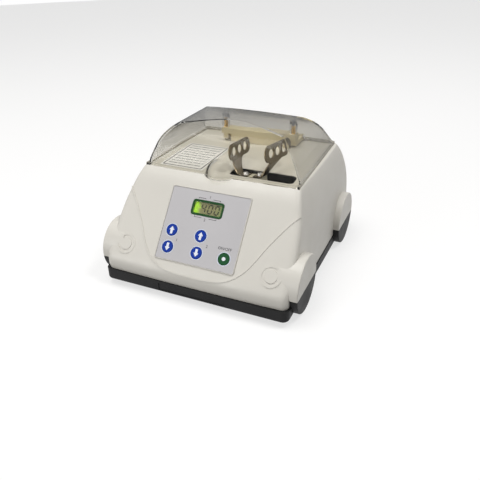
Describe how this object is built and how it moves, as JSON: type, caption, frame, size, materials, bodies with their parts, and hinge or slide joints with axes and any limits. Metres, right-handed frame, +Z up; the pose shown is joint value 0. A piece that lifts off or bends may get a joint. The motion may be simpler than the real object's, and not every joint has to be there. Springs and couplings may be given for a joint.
{
  "type": "vibration mill",
  "caption": "Bench vibration mill with a car-like white housing, dark base with wheel-shaped feet, sloped key panel and clear smoked lid over a spring-steel capsule fork.",
  "frame": {"origin": "centre of the footprint on the bench, under the rubber feet", "axes": "+X to the right seen from the keys, +Y to the rear, +Z up; the sloped panel faces -Y"},
  "size_m": [0.2146, 0.2312, 0.1546],
  "materials": {
    "white_housing": "moulded, light gloss",
    "dark_base": "fine texture",
    "foot_rubber": "moulded",
    "screw_steel": "zinc plated",
    "overlay_grey": "printed film, satin",
    "display_green": "moulded",
    "lens_clear": "clear",
    "display_backlight": "lit from behind",
    "board_green": "solder mask",
    "switch_black": "moulded",
    "label_white": "blank film",
    "cream_plastic": "moulded",
    "smoked_clear": "clear, smoked",
    "brass_insert": "turned",
    "motor_steel": "drawn",
    "motor_alloy": "cast",
    "magnet_ferrite": "sintered",
    "plated_steel": "zinc plated",
    "bearing_steel": "ground",
    "armature_steel": "laminated",
    "copper_bar": "drawn",
    "cream_arm": "cast and painted",
    "spring_bronze": "hardened strip, oiled",
    "spring_wire": "drawn",
    "transformer_core": "varnished",
    "capacitor_sleeve": "shrunk sleeve",
    "black_plastic": "moulded",
    "rocker_black": "moulded",
    "key_blue": "moulded",
    "key_green": "moulded"
  },
  "bodies": {
    "housing": {"upper_housing": "white_housing", "base_tray": "dark_base", "rubber_feet": "foot_rubber", "base_screws": "screw_steel", "control_overlay": "overlay_grey", "display_bezel": "display_green", "display_lens": "lens_clear", "display_module": "display_backlight", "control_board": "board_green", "control_board_screws": "screw_steel", "key_switches": "switch_black", "deck_label": "label_white", "hinge_bracket": "cream_plastic", "hinge_bracket_screws": "screw_steel", "hinge_pins": "screw_steel", "motor_can": "motor_steel", "motor_end_bells": "motor_alloy", "field_magnets": "magnet_ferrite", "motor_bracket": "plated_steel", "motor_screws": "screw_steel", "motor_saddle": "foot_rubber", "isolators": "foot_rubber", "isolator_screws": "screw_steel", "arm_springs": "spring_wire", "supply_board": "board_green", "supply_screws": "screw_steel", "transformer": "transformer_core", "smoothing_capacitors": "capacitor_sleeve", "mains_inlet": "black_plastic", "inlet_pins": "copper_bar", "inlet_screws": "screw_steel", "switch_frame": "black_plastic"},
    "lid": {"lid_shell": "smoked_clear", "hinge_yoke": "cream_plastic", "lid_inserts": "brass_insert", "lid_screws": "screw_steel"},
    "rotor": {"motor_shaft": "bearing_steel", "armature": "armature_steel", "commutator": "copper_bar", "oblique_hub": "bearing_steel", "hub_set_screw": "screw_steel", "hub_retainer": "bearing_steel", "bearing_inner_ring": "bearing_steel", "bearing_balls": "bearing_steel"},
    "arm": {"vibration_arm": "cream_arm", "bearing_outer_ring": "bearing_steel", "fork_left": "spring_bronze", "fork_right": "spring_bronze", "fork_screws": "screw_steel"},
    "rocker": {"switch_rocker": "rocker_black"},
    "key_speed_up": {"key_speed_up": "key_blue"},
    "key_speed_down": {"key_speed_down": "key_blue"},
    "key_timer_up": {"key_timer_up": "key_blue"},
    "key_timer_down": {"key_timer_down": "key_blue"},
    "key_start_stop": {"key_start_stop": "key_green"}
  },
  "joints": [
    {"name": "lid_hinge", "type": "hinge", "parent": "housing", "child": "lid", "pos_m": [0, 0.088, 0.113], "axis": [-1, 0, 0], "range_deg": [0, 75]},
    {"name": "motor_spin", "type": "hinge", "parent": "housing", "child": "rotor", "pos_m": [0.0335, -0.0275, 0.06], "axis": [1, 0, 0], "continuous": true},
    {"name": "arm_rock", "type": "hinge", "parent": "housing", "child": "arm", "pos_m": [0.0335, -0.0275, 0.06], "axis": [0.0819, 0.9966, 0], "range_deg": [-1.5, 14.5]},
    {"name": "switch_rock", "type": "hinge", "parent": "housing", "child": "rocker", "pos_m": [-0.006, 0.1102, 0.049], "axis": [1, 0, 0], "range_deg": [0, 16]},
    {"name": "key_speed_up_press", "type": "slide", "parent": "housing", "child": "key_speed_up", "axis": [0, 0.7705, -0.6374], "range_m": [0, 0.0005], "stiffness_N_per_m": 1000, "springref_m": -0.001},
    {"name": "key_speed_down_press", "type": "slide", "parent": "housing", "child": "key_speed_down", "axis": [0, 0.7705, -0.6374], "range_m": [0, 0.0005], "stiffness_N_per_m": 1000, "springref_m": -0.001},
    {"name": "key_timer_up_press", "type": "slide", "parent": "housing", "child": "key_timer_up", "axis": [0, 0.7705, -0.6374], "range_m": [0, 0.0005], "stiffness_N_per_m": 1000, "springref_m": -0.001},
    {"name": "key_timer_down_press", "type": "slide", "parent": "housing", "child": "key_timer_down", "axis": [0, 0.7705, -0.6374], "range_m": [0, 0.0005], "stiffness_N_per_m": 1000, "springref_m": -0.001},
    {"name": "key_start_stop_press", "type": "slide", "parent": "housing", "child": "key_start_stop", "axis": [0, 0.7705, -0.6374], "range_m": [0, 0.0005], "stiffness_N_per_m": 1000, "springref_m": -0.001}
  ]
}
